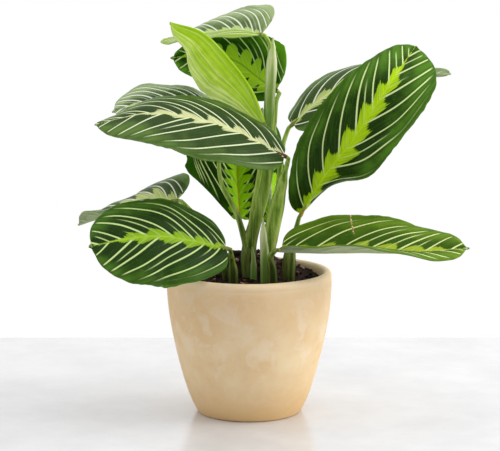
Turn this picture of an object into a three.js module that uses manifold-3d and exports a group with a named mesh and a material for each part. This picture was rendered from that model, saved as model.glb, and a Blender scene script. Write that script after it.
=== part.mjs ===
// Potted prayer plant, millimetres, Z up, front towards -Y, the pot standing on z = 0.
import * as THREE from 'three';
import Module from 'manifold-3d';

const wasm = await Module();
wasm.setup();

// Pot
const POT_HEIGHT = 104.5;
const RIM_RADIUS = 60;
const FOOT_RADIUS = 38;
const WALL = 5.9;
const FLOOR = 7;
const ROUND_SIDES = 40;

// Soil
const SOIL_EDGE = 96.5; // height against the wall, 8 mm under the rim
const SOIL_MOUND = 16; // rise behind the stems
const SOIL_SPREAD = [24, 13]; // how wide the mound is, across and deep

// Plant
const GAP = 0.3; // air left between neighbouring pieces
const BLADE = 0.8; // leaf thickness
const EDGE_WAVE = 1.0; // height of the waves along a leaf edge
const CAMBER = 2.0; // bulge of each half of a blade
const NECK = 2.5; // swollen joint ahead of a blade
const JOINT_RADIUS = 1.5; // of the swollen joint
const ALONG = 12; // cells along a blade
const RIB_WIDTH = 1.3; // half width of the midrib
const RIB_DEPTH = 1.1; // how far it stands out underneath, at the base

// Each leaf: midrib from base to tip, and the reach of its left and right half from the midrib at
// mid length (and at base and tip where they differ). Where a leaf differs from the rest: lobe, how
// far the base reaches back; camber; crease, the half width of the fold; blunt, the share of the
// width that is left at the tip.
const LEAVES = {
  leaf_right_upper: {
    rib: [[38, -6, 147], [54, -24, 177], [73, -38, 204], [96, -36, 239], [117, -16, 267]],
    left: [-27, 4, 19], leftBase: [-23, 4, 8], leftTip: [-20, 10, 16],
    right: [24, -9, -9], rightBase: [8, 14, 8], rightTip: [43, -2, -5], blunt: 0.32,
  },
  leaf_right_back: {
    rib: [[32, 2, 211], [51, 4, 228], [77, 8, 242], [112, 18, 247], [146, 34, 244]],
    left: [-8, 24, 7], leftTip: [-2, 7, -7],
    right: [11, -18, -13], rightTip: [2, -6, 8], blunt: 0.4,
  },
  leaf_right_low: {
    rib: [[24, -25, 123], [52, -31, 123], [80, -36, 124], [116, -39, 124], [153, -40, 127]],
    left: [2, 24, 23], leftBase: [2, 22, 23], leftTip: [3, 26, 16],
    right: [-1, -26, 8], rightTip: [2, -26, -8],
  },
  leaf_left_upper: {
    rib: [[24, -22, 191], [-4, -30, 207], [-34, -36, 218], [-69, -42, 223], [-106, -46, 216]],
    left: [-6, -26, -23], leftBase: [-8, -24, -16], leftTip: [-6, -26, -20],
    right: [-8, 22, 15], rightBase: [-4, 16, 18], rightTip: [-8, 30, -1], blunt: 0.3,
  },
  leaf_left_back: {
    rib: [[-18, 16, 208], [-37, 20, 218], [-56, 22, 223], [-77, 22, 224], [-98, 20, 218]],
    left: [1, -18, -16],
    right: [-1, 24, 12],
  },
  leaf_centre: {
    rib: [[-7, 12, 141], [-8, 23, 156], [-9, 32, 173], [-9, 38, 190], [-8, 41, 206]],
    left: [-36, -12, 20], leftBase: [-9, 3, -3],
    right: [26, 2, 8], rightBase: [14, 12, 6], blunt: 0.1,
  },
  leaf_left_low: {
    rib: [[-17, -28, 125], [-39, -46, 133], [-62, -60, 139], [-85, -72, 139], [-108, -84, 136]],
    left: [-2, -12, -34], leftBase: [-4, -22, -20],
    right: [-6, 16, 24],
  },
  leaf_left_behind: {
    rib: [[-53, 8, 154], [-71, 22, 154], [-90, 34, 146], [-108, 46, 137], [-127, 56, 129]],
    left: [2, -23, 5], leftBase: [2, -22, -10], leftTip: [0, -8, 13],
    right: [9, 20, 8], rightBase: [28, 14, 22], rightTip: [4, 16, 6],
    crease: 2, blunt: 0.25, lobe: 10,
  },
  leaf_top: {
    rib: [[8, 2, 275], [-7, 18, 277], [-24, 34, 274], [-44, 50, 271], [-63, 64, 267]],
    left: [-9, -22, -4],
    right: [12, 22, 15], rightBase: [24, 12, 24], rightTip: [10, 20, 1],
  },
  leaf_top_back: {
    rib: [[19, 14, 234], [6, 28, 242], [-10, 38, 253], [-31, 43, 258], [-56, 44, 255]],
    left: [-16, -9, -22], leftBase: [-8, 6, -13], leftTip: [4, -12, -23],
    right: [14, 0, 24], rightBase: [9, 6, 38], rightTip: [8, 8, 10], camber: 1, crease: 2,
  },
  leaf_young_folded: {
    rib: [[10, -4, 213], [1, -4, 236], [-14, -4, 257], [-33, -3, 276], [-55, -1, 283]],
    left: [-18, 23, -13], leftBase: [-14, 18, -5], leftTip: [-7, 14, -18],
    right: [-24, -6, -17], rightBase: [-20, -3, -6], rightTip: [-7, -8, -18],
    camber: 0, crease: 2.2, blunt: 0.3, lobe: 0,
  },
  leaf_centre_back: {
    rib: [[15, 24, 136], [16, 34, 154], [15, 44, 175], [13, 52, 196], [10, 56, 215]],
    left: [-24, 16, -4],
    right: [7, 16, 10], rightBase: [4, 16, 3],
    camber: 1, crease: 2, blunt: 0.12, lobe: 0,
  },
};

// Each stem piece: its stalks as [x, y, z, half width, half thickness], and the leaf each one carries.
const STEMS = {
  stem_tall: [
    { leaf: 'leaf_top', path: [[0.5, 6, 84, 5, 4.5], [-0.5, 6, 112, 5.5, 4], [1.5, 5, 128, 5, 4],
      [7, 3, 148, 4.5, 3.5], [12, 2, 170, 4.5, 3.5], [14, 2, 195, 4.5, 3], [14.5, 2, 221, 4, 3],
      [15, 1, 244, 3.5, 2.5], [15, 0, 258, 2, 2], [14.5, -2, 268, 1.5, 1.5]] },
    { path: [[3, 1, 88, 2.6, 2], [3.2, 0.5, 104, 2.6, 2], [3, 0.5, 113, 1.6, 1.4], [2.2, 1, 121, 0.6, 0.6]] },
    { path: [[14, 1, 206, 2.5, 1.8], [14.5, -0.5, 222, 3.4, 2], [15, -1, 235, 4, 2], [16, -2, 253, 4, 2], [16.5, -2, 264, 2.5, 1.5],
      [17, -2, 273, 0.6, 0.6]] },
    { leaf: 'leaf_young_folded', path: [[0.5, 4, 120, 2.5, 2.5], [2, 1, 144, 2, 2],
      [6, -2, 166, 2, 2], [9, -3, 186, 2, 2], [11, -3.5, 202, 1.8, 1.8]] },
    { leaf: 'leaf_top_back', path: [[13, 4, 175, 2, 2], [16, 8, 191, 2, 2], [18, 9, 211, 2, 2],
      [19.5, 9, 226, 1.6, 1.6]] },
    { leaf: 'leaf_left_back', path: [[0.5, 4, 114, 2.5, 2.5], [-3, 4, 125, 2.5, 2], [-8, 4, 142, 2, 2],
      [-15, 4, 157, 2, 2], [-20, 5, 167, 1.6, 1.6], [-22, 8, 180, 1.6, 1.6], [-20, 11, 191, 1.6, 1.6],
      [-15, 14, 200, 1.5, 1.5]] },
    { leaf: 'leaf_centre', path: [[0.5, 7, 92, 2.5, 2.5], [-2.5, 9, 120, 2.5, 2], [-5, 8, 132, 1.8, 1.8]] },
  ],
  stem_middle: [
    { leaf: 'leaf_left_upper', path: [[12, -4, 86, 4, 3.5], [13, -5, 111, 4.5, 3], [15.5, -7, 130, 5.5, 3],
      [19.5, -9, 150, 5.5, 2.5], [23, -12, 167, 4, 2.5], [26, -16.5, 180, 1.8, 1.8]] },
    { path: [[11.5, -6, 88, 3.5, 2.5], [11.5, -8, 111, 3.6, 2.3], [10.5, -9, 129, 2.8, 1.5], [10, -8.5, 144, 0.6, 0.6]] },
    { leaf: 'leaf_right_back', path: [[13.5, -4.5, 106, 2.5, 2.2], [15.5, -2.5, 124, 3, 2.5], [18.5, -2, 145, 2.5, 2], [21.5, -1, 170, 2, 2],
      [23, 0, 187, 2, 2], [25, 1, 198, 1.6, 1.6]] },
    { leaf: 'leaf_centre_back', path: [[12, -3, 90, 2.5, 2.5], [13, 5, 114, 2.5, 2], [14.5, 15, 127, 2, 2]] },
  ],
  stem_right: [
    { leaf: 'leaf_right_upper', path: [[28.5, 0, 85, 5, 3.5], [29, 0, 110, 4.8, 3.2], [31, 3, 124, 3, 2.5],
      [34, 3, 134, 1.8, 1.8]] },
  ],
  stem_right_front: [
    { leaf: 'leaf_right_low', path: [[17, -18, 88, 4, 3], [16.5, -18, 107, 3.4, 2.6],
      [15, -20, 117, 2.2, 2]] },
  ],
  stem_left_front: [
    { leaf: 'leaf_left_low', path: [[-11.5, -15, 88, 3.5, 3.5], [-11.5, -15, 105, 3.5, 3],
      [-12.5, -17, 115, 2.2, 2]] },
  ],
  stem_left_back: [
    { leaf: 'leaf_left_behind', path: [[-15, 4, 82, 3, 3], [-19, 2, 110, 2.5, 2], [-28.5, 2, 129, 2, 2],
      [-40, 1, 145, 1.6, 1.6]] },
  ],
};

const CLAY = new THREE.MeshStandardMaterial({ color: 0xd9bb8f, roughness: 0.8 });
const EARTH = new THREE.MeshStandardMaterial({ color: 0x2f261d, roughness: 1 });
const STALK = new THREE.MeshStandardMaterial({ color: 0x86a552, roughness: 0.6 });
const LEAF = new THREE.MeshStandardMaterial({ color: 0x4d7b3a, roughness: 0.5 });
const YOUNG_LEAF = new THREE.MeshStandardMaterial({ color: 0x9cc043, roughness: 0.5 });

const vec = (a) => new THREE.Vector3(a[0], a[1], a[2]);
const smooth = (w) => w * w * (3 - 2 * w);
const curveThrough = (points) => new THREE.CatmullRomCurve3(points, false, 'catmullrom', 0.5);

// A closed body from corners and faces; corners that coincide are merged.
function bodyOf(corners, faces) {
  const seen = new Map();
  const index = [];
  const points = [];
  for (const c of corners) {
    const key = [c.x, c.y, c.z].map((value) => Math.round(value * 1000)).join();
    if (!seen.has(key)) {
      seen.set(key, points.length / 3);
      points.push(c.x, c.y, c.z);
    }
    index.push(seen.get(key));
  }
  const kept = faces.map((f) => f.map((i) => index[i]))
    .filter(([a, b, c]) => a !== b && b !== c && c !== a);
  return new wasm.Manifold(new wasm.Mesh({
    numProp: 3,
    vertProperties: new Float32Array(points),
    triVerts: new Uint32Array(kept.flat()),
  }));
}

const joined = (bodies) => bodies.reduce((all, body) => all.add(body));
const largest = (body) => body.decompose().reduce((a, b) => (a.volume() > b.volume() ? a : b));

function meshOf(name, body, material) {
  const { vertProperties, triVerts } = body.getMesh();
  const geometry = new THREE.BufferGeometry();
  geometry.setAttribute('position', new THREE.BufferAttribute(Float32Array.from(vertProperties), 3));
  geometry.setIndex(new THREE.BufferAttribute(Uint32Array.from(triVerts), 1));
  geometry.computeVertexNormals();
  const mesh = new THREE.Mesh(geometry, material);
  mesh.name = name;
  return mesh;
}

// Turned shape around Z from [radius, height] points that start and end on the axis.
function turned(profile) {
  const lathe = new THREE.LatheGeometry(profile.map(([r, z]) => new THREE.Vector2(r, z)), ROUND_SIDES);
  lathe.rotateX(Math.PI / 2);
  const at = lathe.getAttribute('position');
  const corners = [];
  for (let i = 0; i < at.count; i += 1) corners.push(new THREE.Vector3().fromBufferAttribute(at, i));
  const faces = [];
  const order = lathe.getIndex().array;
  for (let i = 0; i < order.length; i += 3) faces.push([order[i], order[i + 1], order[i + 2]]);
  return bodyOf(corners, faces);
}

// Inside of the pot as [radius, height], from the floor to the rim.
const INSIDE = [[32, FLOOR], [35.5, 9], [39.5, 17], [43.8, 31], [47.2, 45], [50.3, 59.5],
  [53.6, 83], [RIM_RADIUS - WALL, 95]];

function potBody() {
  const outside = [[0, 0], [FOOT_RADIUS - 1.6, 0], [FOOT_RADIUS, 1], [41.7, 7.5], [45.3, 17], [49.6, 31],
    [53, 45], [56.2, 59.5], [58.4, 72.5], [59.5, 83], [RIM_RADIUS, 95]];
  const lip = [[RIM_RADIUS, 101], [RIM_RADIUS - 0.8, 103.4], [RIM_RADIUS - 2.4, POT_HEIGHT],
    [RIM_RADIUS - 4.4, POT_HEIGHT], [RIM_RADIUS - WALL + 0.3, 103.2], [RIM_RADIUS - WALL, 101]];
  return turned([...outside, ...lip, ...[...INSIDE].reverse(), [0, FLOOR]]);
}

// Height of the soil, mounded behind the stems and uneven all over.
function soilHeight(x, y) {
  const far = ((x / SOIL_SPREAD[0]) ** 2 + ((y - 30) / SOIL_SPREAD[1]) ** 2) / 2;
  const lumps = 0.8 * Math.sin(0.42 * x + 1.3) * Math.sin(0.47 * y + 0.4)
    + 0.5 * Math.sin(0.8 * x - 0.6 * y);
  return SOIL_EDGE + SOIL_MOUND * Math.exp(-far) + lumps;
}

function soilBody() {
  const wall = INSIDE.map(([r, z], i) => [r - GAP, i < 2 ? z + GAP : z]);
  const reach = RIM_RADIUS - WALL - GAP;
  const rings = [reach, 46, 38, 30, 22, 14, 7];
  const corners = [new THREE.Vector3(0, 0, FLOOR + GAP)];
  const ring = (r, height) => {
    for (let i = 0; i < ROUND_SIDES; i += 1) {
      const turn = (i / ROUND_SIDES) * Math.PI * 2;
      const x = r * Math.sin(turn);
      const y = -r * Math.cos(turn);
      corners.push(new THREE.Vector3(x, y, height(x, y)));
    }
  };
  for (const [r, z] of wall) ring(r, () => z);
  for (const r of rings) ring(r, soilHeight);
  corners.push(new THREE.Vector3(0, 0, soilHeight(0, 0)));
  const count = wall.length + rings.length;
  const faces = [];
  const at = (k, i) => 1 + k * ROUND_SIDES + (i % ROUND_SIDES);
  for (let i = 0; i < ROUND_SIDES; i += 1) {
    faces.push([0, at(0, i + 1), at(0, i)]);
    for (let k = 0; k + 1 < count; k += 1) {
      faces.push([at(k, i), at(k, i + 1), at(k + 1, i + 1)], [at(k, i), at(k + 1, i + 1), at(k + 1, i)]);
    }
    faces.push([corners.length - 1, at(count - 1, i), at(count - 1, i + 1)]);
  }
  return bodyOf(corners, faces);
}

// Crumbs lying on the soil: [x, y, radius].
const CRUMBS = [[40, -22, 2.4], [46, 6, 2], [36, 26, 2.6], [8, 44, 2.2], [-30, 34, 2.5], [-44, -8, 2.2],
  [-24, -36, 2.4], [2, -44, 2], [30, -34, 2.6], [-14, 22, 2.8], [22, 12, 2.6], [-6, -30, 2.2],
  [38, -4, 2], [-34, 10, 2.3]];

function crumbBody([x, y, radius]) {
  const lump = new THREE.IcosahedronGeometry(radius, 0);
  lump.scale(1.15, 0.95, 0.8);
  lump.rotateZ(x + y);
  lump.translate(x, y, soilHeight(x, y) + radius * 0.25);
  const at = lump.getAttribute('position');
  const corners = [];
  const faces = [];
  for (let i = 0; i < at.count; i += 1) corners.push(new THREE.Vector3().fromBufferAttribute(at, i));
  for (let i = 0; i < at.count; i += 3) faces.push([i, i + 1, i + 2]);
  return bodyOf(corners, faces);
}

// Rings joined into a closed tube with flat ends.
function tube(rings) {
  const sides = rings[0].length;
  const corners = rings.flat();
  const middle = (ring) => ring.reduce((sum, p) => sum.add(p), new THREE.Vector3()).divideScalar(sides);
  corners.push(middle(rings[0]), middle(rings[rings.length - 1]));
  const faces = [];
  const last = (rings.length - 1) * sides;
  for (let i = 0; i < sides; i += 1) {
    const next = (i + 1) % sides;
    faces.push([corners.length - 2, next, i], [corners.length - 1, last + i, last + next]);
    for (let k = 0; k + 1 < rings.length; k += 1) {
      const a = k * sides;
      faces.push([a + i, a + next, a + sides + next], [a + i, a + sides + next, a + sides + i]);
    }
  }
  return bodyOf(corners, faces);
}

function oval(centre, along, halfWidth, halfDepth, sides) {
  const wide = new THREE.Vector3().crossVectors(along, new THREE.Vector3(0, 1, 0)).normalize();
  const deep = new THREE.Vector3().crossVectors(wide, along).normalize();
  return Array.from({ length: sides }, (_, i) => {
    const turn = (i / sides) * Math.PI * 2;
    return centre.clone().addScaledVector(wide, -halfWidth * Math.cos(turn))
      .addScaledVector(deep, halfDepth * Math.sin(turn));
  });
}

// A stalk; "grow" swells it all round, for the hole it stands in.
function stalkBody({ path, leaf }, grow = 0) {
  const knots = path.map((p) => [...p]);
  if (leaf) {
    const start = vec(LEAVES[leaf].rib[0]);
    const along = curveThrough(LEAVES[leaf].rib.map(vec)).getTangent(0);
    for (const back of [NECK + GAP + 1.8, NECK + GAP]) {
      const p = start.clone().addScaledVector(along, -back);
      knots.push([p.x, p.y, p.z, JOINT_RADIUS, JOINT_RADIUS]);
    }
  }
  const curve = curveThrough(knots.map(vec));
  const spans = knots.length - 1;
  const rings = [];
  for (let k = 0; k <= spans * 2; k += 1) {
    if (leaf && k === spans * 2 - 1) continue;
    const t = k / (spans * 2);
    const from = knots[Math.min(Math.floor(t * spans), spans - 1)];
    const to = knots[Math.min(Math.floor(t * spans), spans - 1) + 1];
    const w = smooth(Math.min(1, t * spans - Math.min(Math.floor(t * spans), spans - 1)));
    const centre = curve.getPoint(t);
    if (k === 0) centre.addScaledVector(curve.getTangent(0), -grow);
    rings.push(oval(centre, curve.getTangent(t), from[3] + (to[3] - from[3]) * w + grow,
      from[4] + (to[4] - from[4]) * w + grow, 8));
  }
  return tube(rings);
}

// Outline of a blade: share of the full half width at u along the midrib.
function outline(leaf, u) {
  const share = (1 - Math.abs(2 * u - 1) ** 2.25) ** (1 / 2.25) * (1.04 - 0.10 * u);
  const blunt = leaf.blunt && u > 0.5 ? leaf.blunt : 0;
  return Math.max((share ** 6 + blunt ** 6) ** (1 / 6), 0.06);
}

function halfAcross(leaf, u, side, along) {
  const middle = vec(leaf[side]);
  const end = vec((u < 0.5 ? leaf[side + 'Base'] : leaf[side + 'Tip']) ?? leaf[side]);
  const reach = end.lerp(middle, smooth(1 - Math.abs(2 * u - 1)));
  const length = reach.length();
  return reach.addScaledVector(along, -reach.dot(along)).setLength(length);
}

// Point of the blade at u along (0 base, 1 tip) and v across (-1 left edge, 1 right edge).
function bladePoint(leaf, curve, u, v) {
  const side = v < 0 ? 'left' : 'right';
  const along = curve.getTangent(u);
  const across = halfAcross(leaf, u, side, along);
  const up = new THREE.Vector3().crossVectors(across, along).normalize();
  if (v < 0) up.negate();
  const a = Math.abs(v);
  const width = outline(leaf, u);
  const wave = EDGE_WAVE * Math.sin(Math.PI * 6 * u + (v < 0 ? 2 : 0)) * a * a;
  return curve.getPoint(u).addScaledVector(across, a * width)
    .addScaledVector(up, ((leaf.camber ?? CAMBER) * 4 * a * (1 - a) + wave) * width)
    .addScaledVector(along, -(leaf.lobe ?? 8) * a * width * (1 - u) ** 6);
}

function bladeUp(leaf, curve, u, v) {
  const d = 0.01;
  const u0 = Math.max(u - d, 0);
  const u1 = Math.min(u + d, 1);
  const sum = new THREE.Vector3();
  for (const s of v === 0 ? [-1, 1] : [Math.sign(v)]) {
    const a = Math.abs(v);
    const v0 = s * Math.max(a - d, 0.002);
    const v1 = s * Math.min(a + d, 1);
    const across = bladePoint(leaf, curve, u, v1).sub(bladePoint(leaf, curve, u, v0)).multiplyScalar(s);
    const along = bladePoint(leaf, curve, u1, s * Math.max(a, 0.002))
      .sub(bladePoint(leaf, curve, u0, s * Math.max(a, 0.002)));
    sum.add(across.cross(along).normalize());
  }
  return sum.normalize();
}

// Columns of the blade mesh: the two beside the midrib follow its width.
const COLUMNS = [-1, -0.7, -0.4, -0.15, 0, 0.15, 0.4, 0.7, 1];

// One leaf: the swollen joint, then the blade with its midrib standing proud underneath.
function leafBody(leaf) {
  const curve = curveThrough(leaf.rib.map(vec));
  const over = [];
  const under = [];
  const up = bladeUp(leaf, curve, 0, 0);
  const out = new THREE.Vector3().crossVectors(curve.getTangent(0), up).normalize();
  for (const back of [NECK, 0]) {
    const centre = curve.getPoint(0).addScaledVector(curve.getTangent(0), -back);
    for (const c of COLUMNS) {
      const p = centre.clone().addScaledVector(out, JOINT_RADIUS * c);
      const high = JOINT_RADIUS * Math.sqrt(Math.max(0.06, 1 - c * c));
      over.push(p.clone().addScaledVector(up, high));
      under.push(p.clone().addScaledVector(up, -high));
    }
  }
  for (let i = 1; i <= ALONG; i += 1) {
    const u = (1 - Math.cos((Math.PI * i) / ALONG)) / 2;
    for (const c of COLUMNS) {
      const side = c < 0 ? 'left' : 'right';
      const reach = vec(leaf[side]).length() * outline(leaf, u);
      const v = Math.abs(c) < 0.2 ? Math.sign(c) * Math.min((leaf.crease ?? RIB_WIDTH) / reach, 0.2) : c;
      const keel = (RIB_DEPTH * (1 - 0.7 * u)) * (c === 0 ? 1 : Math.abs(c) < 0.2 ? 0.4 : 0);
      const p = bladePoint(leaf, curve, u, v);
      const lift = bladeUp(leaf, curve, u, v);
      over.push(p.clone().addScaledVector(lift, BLADE / 2));
      under.push(p.clone().addScaledVector(lift, -BLADE / 2 - keel));
    }
  }
  return plate(over, under, COLUMNS.length);
}

// A closed plate from matching grids of corners over and under it.
function plate(over, under, row) {
  const rows = over.length / row;
  const down = over.length;
  const faces = [];
  const wall = (a, b) => faces.push([a, b, b + down], [a, b + down, a + down]);
  for (let i = 0; i + 1 < rows; i += 1) {
    for (let j = 0; j + 1 < row; j += 1) {
      const [a, b, c, d] = [i * row + j, i * row + j + 1, (i + 1) * row + j + 1, (i + 1) * row + j];
      faces.push([a, b, c], [a, c, d]);
      faces.push([a + down, c + down, b + down], [a + down, d + down, c + down]);
    }
    wall(i * row, (i + 1) * row);
    wall((i + 2) * row - 1, (i + 1) * row - 1);
  }
  for (let j = 0; j + 1 < row; j += 1) {
    wall(j + (rows - 1) * row, j + 1 + (rows - 1) * row);
    wall(j + 1, j);
  }
  return bodyOf([...over, ...under], faces);
}

const group = new THREE.Group();
const holes = joined(Object.values(STEMS).flat().map((stalk) => stalkBody(stalk, GAP)));
group.add(meshOf('pot', potBody(), CLAY));
const soil = joined([soilBody(), ...CRUMBS.map(crumbBody)]).subtract(holes);
group.add(meshOf('soil', largest(soil).simplify(0.02), EARTH));
for (const [name, stalks] of Object.entries(STEMS)) {
  group.add(meshOf(name, joined(stalks.map((stalk) => stalkBody(stalk))).simplify(0.02), STALK));
}
for (const [name, leaf] of Object.entries(LEAVES)) {
  group.add(meshOf(name, leafBody(leaf), name === 'leaf_young_folded' ? YOUNG_LEAF : LEAF));
}

export default group;
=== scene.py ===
"""Looks of the potted prayer plant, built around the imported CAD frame.

Metres, Z up, front towards -Y, the pot standing on z = 0. Lengths in the tables below are in
millimetres and are the ones the solids were made from.
"""

import math
import random
from functools import partial

import bpy
import numpy as np
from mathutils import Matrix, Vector, noise


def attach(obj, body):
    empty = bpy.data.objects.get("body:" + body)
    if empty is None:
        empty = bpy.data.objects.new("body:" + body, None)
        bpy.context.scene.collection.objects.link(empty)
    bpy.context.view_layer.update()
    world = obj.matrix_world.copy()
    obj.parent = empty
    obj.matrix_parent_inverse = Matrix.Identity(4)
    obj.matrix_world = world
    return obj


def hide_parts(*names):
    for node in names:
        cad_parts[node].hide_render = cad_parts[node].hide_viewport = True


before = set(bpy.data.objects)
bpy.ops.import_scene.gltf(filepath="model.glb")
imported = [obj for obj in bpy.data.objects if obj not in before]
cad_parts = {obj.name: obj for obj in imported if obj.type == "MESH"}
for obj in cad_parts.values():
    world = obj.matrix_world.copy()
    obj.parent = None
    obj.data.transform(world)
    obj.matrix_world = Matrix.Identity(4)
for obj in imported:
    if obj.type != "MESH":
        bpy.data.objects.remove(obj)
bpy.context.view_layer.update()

bl_info = {
    "name": "Potted prayer plant",
    "version": (1, 0, 0),
    "blender": (4, 5, 0),
    "location": "View3D > Sidebar > Plant",
    "description": "Builds a prayer plant in a clay pot around its CAD frame",
    "category": "Add Mesh",
}

MM = 0.001
BODY = "root"
GAP = 0.3  # air that the solids leave between a petiole and its leaf
NECK = 2.5  # swollen joint ahead of a blade
JOINT_RADIUS = 1.5

# Pot, as [radius, height] in mm, from the middle of the foot round the rim to the middle of the floor.
POT_OUTSIDE = [(8, 0), (30, 0), (36.2, 0), (37.5, 0.35), (38.1, 1.2), (39.4, 3.6), (41.7, 7.5), (45.3, 17),
               (49.6, 31), (53, 45), (56.2, 59.5), (58.4, 72.5), (59.5, 83), (60, 93), (60.1, 97.6),
               (59.75, 98.5), (59.75, 99.1), (60.05, 100), (60, 101.6), (59.4, 103.2), (58.2, 104.2),
               (56.6, 104.5)]
POT_INSIDE = [(55.2, 104.1), (54.4, 103.1), (54.1, 101.5), (54.1, 95), (53.6, 83), (50.3, 59.5),
              (47.2, 45), (43.8, 31), (39.5, 17), (35.5, 9), (32, 7), (8, 7)]
POT_SIDES = 96

# Soil: its height at the wall, the rise behind the stems, how wide that is, across and deep, and how
# far behind the middle it stands. Its outline below the top, and the radii of the rings of its top.
SOIL_EDGE, SOIL_MOUND, SOIL_SPREAD, SOIL_BACK = 96.5, 16, (24, 13), 30
SOIL_SIDE = [(8, 7.4), (32, 7.4), (35.2, 9.4), (39.2, 17), (43.5, 31), (46.9, 45), (50, 59.5), (53.3, 83),
             (53.7, 90)]
SOIL_RINGS = [53.7, 52, 49, 46, 43, 40, 37, 34, 31, 28, 25, 22, 19, 16, 13, 10, 7.5, 5, 2.5]
SOIL_SIDES = 110
CRUMB_REACH = 51.5  # how far from the middle the crumbs lie
CRUMB_SIZES = [0.7, 0.9, 1.1, 1.4, 1.9, 2.6]
# Where stalks come out of the soil, as (x, y, radius). No crumb lies there.
STALK_FEET = [(0.5, 6, 7.5), (3, 1, 4), (12.5, -5, 7), (29, 0, 6.2), (16.7, -18, 5.5), (-11.5, -15, 5),
              (-17, 3, 4.5)]

# Each leaf: midrib from base to tip, the reach of its left and right half from the midrib at base,
# mid length and tip, its kind of skin, its count of side veins and how far its band reaches. Where a
# leaf differs from the rest: camber; lobe; blunt, the share of the width left at the tip; point, the
# length of the drawn-out tip; bend, how close its lengthwise veins lie at the base; band_end, where
# its band stops; lobes, the count of its band's lobes for each side vein; nicks, how uneven its edge
# is; joint, the colour of its joint.
LEAVES = {
    "leaf_right_upper": dict(
        rib=[(38, -6, 147), (54, -24, 177), (73, -38, 204), (96, -36, 239), (117, -16, 267)],
        left=((-23, 4, 8), (-27, 4, 19), (-20, 10, 16)), right=((8, 14, 8), (24, -9, -9), (43, -2, -5)),
        skin="lime", veins=8.4, band=10, band_end=0.93, blunt=0.32, joint="tan"),
    "leaf_right_back": dict(
        rib=[(32, 2, 211), (51, 4, 228), (77, 8, 242), (112, 18, 247), (146, 34, 244)],
        left=((-8, 24, 7), (-8, 24, 7), (-2, 7, -7)), right=((11, -18, -13), (11, -18, -13), (2, -6, 8)),
        blunt=0.4, skin="dusk", veins=7.5, band=7),
    "leaf_right_low": dict(
        rib=[(24, -25, 123), (52, -31, 123), (80, -36, 124), (116, -39, 124), (153, -40, 127)],
        left=((2, 22, 23), (2, 24, 23), (3, 26, 16)), right=((-1, -26, 8), (-1, -26, 8), (2, -26, -8)),
        point=2, skin="fresh", veins=7, band=8.5, joint="tan"),
    "leaf_left_upper": dict(
        rib=[(24, -22, 191), (-4, -30, 207), (-34, -36, 218), (-69, -42, 223), (-106, -46, 216)],
        left=((-8, -24, -16), (-6, -26, -23), (-6, -26, -20)),
        right=((-4, 16, 18), (-8, 22, 15), (-8, 30, -1)), blunt=0.3, skin="cream",
        veins=8, band=6, band_end=0.84, joint="red"),
    "leaf_left_back": dict(
        rib=[(-18, 16, 208), (-37, 20, 218), (-56, 22, 223), (-77, 22, 224), (-98, 20, 218)],
        left=((1, -18, -16),) * 3, right=((-1, 24, 12),) * 3, skin="frost", veins=8, band=3),
    "leaf_centre": dict(
        rib=[(-7, 12, 141), (-8, 23, 156), (-9, 32, 173), (-9, 38, 190), (-8, 41, 206)],
        left=((-9, 3, -3), (-36, -12, 20), (-36, -12, 20)), right=((14, 12, 6), (26, 2, 8), (26, 2, 8)),
        blunt=0.1, skin="deep", veins=6.5, lobes=1.7, band=11, nicks=2),
    "leaf_left_low": dict(
        rib=[(-17, -28, 125), (-39, -46, 133), (-62, -60, 139), (-85, -72, 139), (-108, -84, 136)],
        left=((-4, -22, -20), (-2, -12, -34), (-2, -12, -34)), right=((-6, 16, 24),) * 3,
        skin="shade", veins=6.2, band=6, band_end=0.86),
    "leaf_left_behind": dict(
        rib=[(-53, 8, 154), (-71, 22, 154), (-90, 34, 146), (-108, 46, 137), (-127, 56, 129)],
        left=((2, -22, -10), (2, -23, 5), (0, -8, 13)), right=((28, 14, 22), (9, 20, 8), (4, 16, 6)),
        blunt=0.25, lobe=10, skin="dusk", veins=7, band=13, band_end=0.98),
    "leaf_top": dict(
        rib=[(8, 2, 275), (-7, 18, 277), (-24, 34, 274), (-44, 50, 271), (-63, 64, 267)],
        left=((-9, -22, -4),) * 3, right=((24, 12, 24), (12, 22, 15), (10, 20, 1)),
        skin="silver", veins=8, band=5),
    "leaf_top_back": dict(
        rib=[(19, 14, 234), (6, 28, 242), (-10, 38, 253), (-31, 43, 258), (-56, 44, 255)],
        left=((-8, 6, -13), (-16, -9, -22), (4, -12, -23)), right=((9, 6, 38), (14, 0, 24), (8, 8, 10)),
        camber=1, skin="lit", veins=7, lobes=1.3, band=11, joint="red"),
    "leaf_young_folded": dict(
        rib=[(10, -4, 213), (1, -4, 236), (-14, -4, 257), (-33, -3, 276), (-55, -1, 283)],
        left=((-14, 18, -5), (-18, 23, -13), (-7, 14, -18)),
        right=((-20, -3, -6), (-24, -6, -17), (-7, -8, -18)),
        camber=0, blunt=0.3, lobe=0, bend=0.5, skin="young", veins=5, band=1),
    "leaf_centre_back": dict(
        rib=[(15, 24, 136), (16, 34, 154), (15, 44, 175), (13, 52, 196), (10, 56, 215)],
        left=((-24, 16, -4),) * 3, right=((4, 16, 3), (7, 16, 10), (7, 16, 10)),
        camber=1, blunt=0.12, lobe=0, skin="deep", veins=6, lobes=1.5, band=9),
}
CAMBER = 2.0  # bulge of each half of a blade
EDGE_WAVE = 1.0  # height of the waves along a leaf edge
LOBE = 8  # how far the base of a blade reaches back
VEINS_BEND = 1.2  # how far they run before they turn forward, in half widths
VEINS_OPEN, VEINS_AT_BASE, VEINS_AT_TIP = 0.72, 0.5, 0.3  # how close the side veins stand
GROOVE, SWELL = 1.3, 4  # width of the groove over a side vein and of the swell beside it
MIDRIB_GROOVE, KEEL = 1.6, 1.25  # width of the groove over the midrib and of the keel under it
ALONG = 150  # cells along a blade
ACROSS = 64  # cells across it
# Each leaf's veins are counted from the next multiple of LEAF_STEP, those of its left half from
# HALF_STEP further on, so that no two halves are alike.
LEAF_STEP, HALF_STEP = 40, 20

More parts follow.
